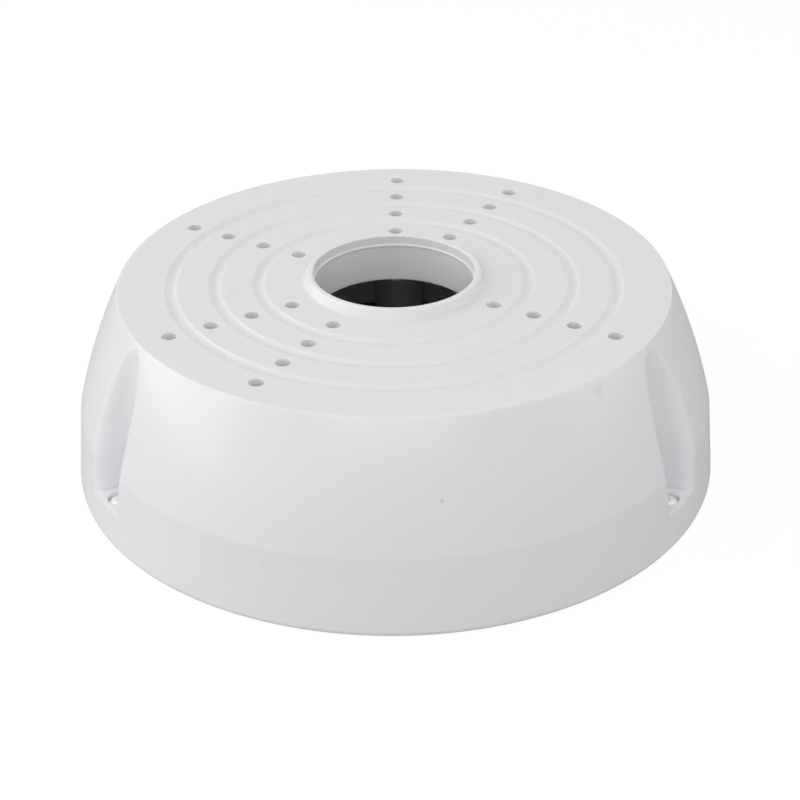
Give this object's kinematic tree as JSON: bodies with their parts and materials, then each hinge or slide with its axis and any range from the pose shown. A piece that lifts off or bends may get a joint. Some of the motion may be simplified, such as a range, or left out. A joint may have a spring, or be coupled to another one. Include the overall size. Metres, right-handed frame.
{
  "type": "camera junction box",
  "caption": "Round junction box that a small surveillance camera is screwed to, with a collared cable hole, rows of pilot holes and side screw pockets.",
  "frame": {"origin": "middle of the wall face, at the bottom centre of the box", "axes": "+Z out of the wall through the middle of the camera plate, +Y towards one of the three screw pockets"},
  "size_m": [0.1498, 0.15, 0.0487],
  "materials": {
    "white_plastic": "semi-gloss white moulding",
    "black_plastic": "black moulding",
    "black_rubber": "dull black rubber",
    "grey_foam": "closed-cell foam",
    "steel": "bright stainless steel",
    "brass": "plain brass"
  },
  "bodies": {
    "root": {"housing": "white_plastic", "base_plate": "black_plastic", "wall_gasket": "grey_foam", "cable_grommet": "black_rubber", "cover_screw_1": "steel", "cover_screw_2": "steel", "cover_screw_3": "steel", "screw_washer_1": "black_rubber", "screw_washer_2": "black_rubber", "screw_washer_3": "black_rubber", "base_insert_1": "brass", "base_insert_2": "brass", "base_insert_3": "brass"}
  },
  "joints": []
}
